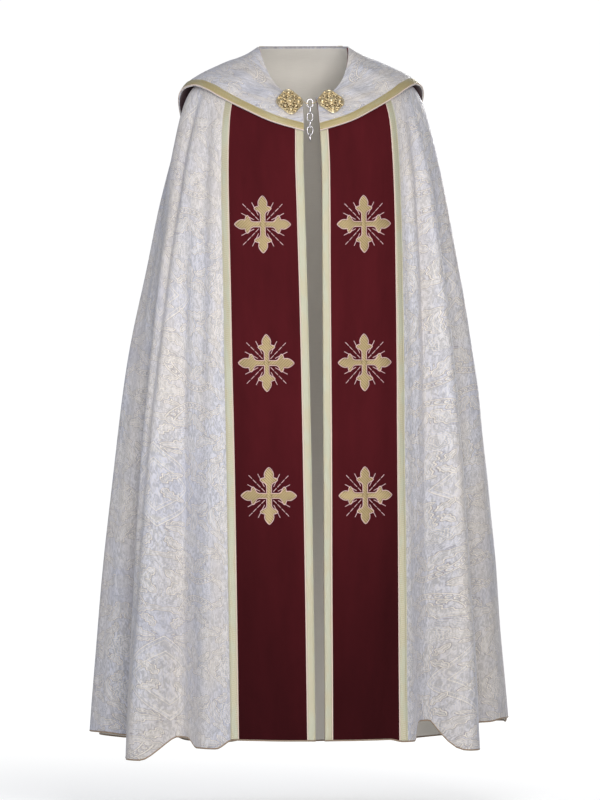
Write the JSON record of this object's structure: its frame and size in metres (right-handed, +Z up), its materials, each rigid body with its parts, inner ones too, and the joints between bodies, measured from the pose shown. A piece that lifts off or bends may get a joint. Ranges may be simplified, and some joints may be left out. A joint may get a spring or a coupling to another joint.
{
  "type": "cope vestment as worn",
  "caption": "Long open mantle worn over the shoulders, with a pointed hood at the back, broad front bands, a chest clasp with a hanging chain, and a tassel.",
  "frame": {"origin": "on the centre plane at the base of the wearer's neck, where the worn mantle is carried", "axes": "+Z up, the wearer faces -Y, +X is the viewer's right when facing the front"},
  "size_m": [0.9013, 0.6442, 1.5055],
  "materials": {
    "brocade": "silver-white damask woven with curling leaves, satin sheen",
    "velvet": "dark maroon velvet pile",
    "galloon": "pale gold woven braid with a dull metallic sheen",
    "binding": "beige woven edge binding",
    "gold_thread": "couched gold thread, satin metallic sheen",
    "gilt_metal": "antique gilt filigree, worn satin",
    "silvered_metal": "silvered wire, slightly dulled"
  },
  "bodies": {
    "cope": {"chain_link_1": "silvered_metal", "clasp_boss_left": "gilt_metal", "clasp_boss_right": "gilt_metal", "clasp_eye_left": "gilt_metal", "clasp_hook_right": "gilt_metal", "clasp_plate_left": "gilt_metal", "clasp_plate_right": "gilt_metal", "cross_back": "gold_thread", "cross_left_1": "gold_thread", "cross_left_2": "gold_thread", "cross_left_3": "gold_thread", "cross_right_1": "gold_thread", "cross_right_2": "gold_thread", "cross_right_3": "gold_thread", "galloon_inner_left": "galloon", "galloon_inner_right": "galloon", "galloon_outer_left": "galloon", "galloon_outer_right": "galloon", "hem_binding_back": "binding", "hem_binding_left": "binding", "hem_binding_right": "binding", "hood": "brocade", "hood_galloon_left": "galloon", "hood_galloon_right": "galloon", "hood_panel": "velvet", "mantle_back": "brocade", "mantle_left": "brocade", "mantle_right": "brocade", "orphrey_binding_left": "binding", "orphrey_binding_right": "binding", "orphrey_left": "velvet", "orphrey_right": "velvet", "panel_galloon_left": "galloon", "panel_galloon_right": "galloon", "tassel_cord": "gold_thread", "tassel_head": "gold_thread", "tassel_skirt": "gold_thread"},
    "chain_tail": {"chain_link_2": "silvered_metal", "chain_link_3": "silvered_metal", "chain_link_4": "silvered_metal", "chain_link_5": "silvered_metal", "chain_link_6": "silvered_metal"}
  },
  "joints": [
    {"name": "chain_swing", "type": "hinge", "parent": "cope", "child": "chain_tail", "pos_m": [0, -0.1191, -0.1031], "axis": [-1, 0, 0], "range_deg": [-15, 120]}
  ]
}
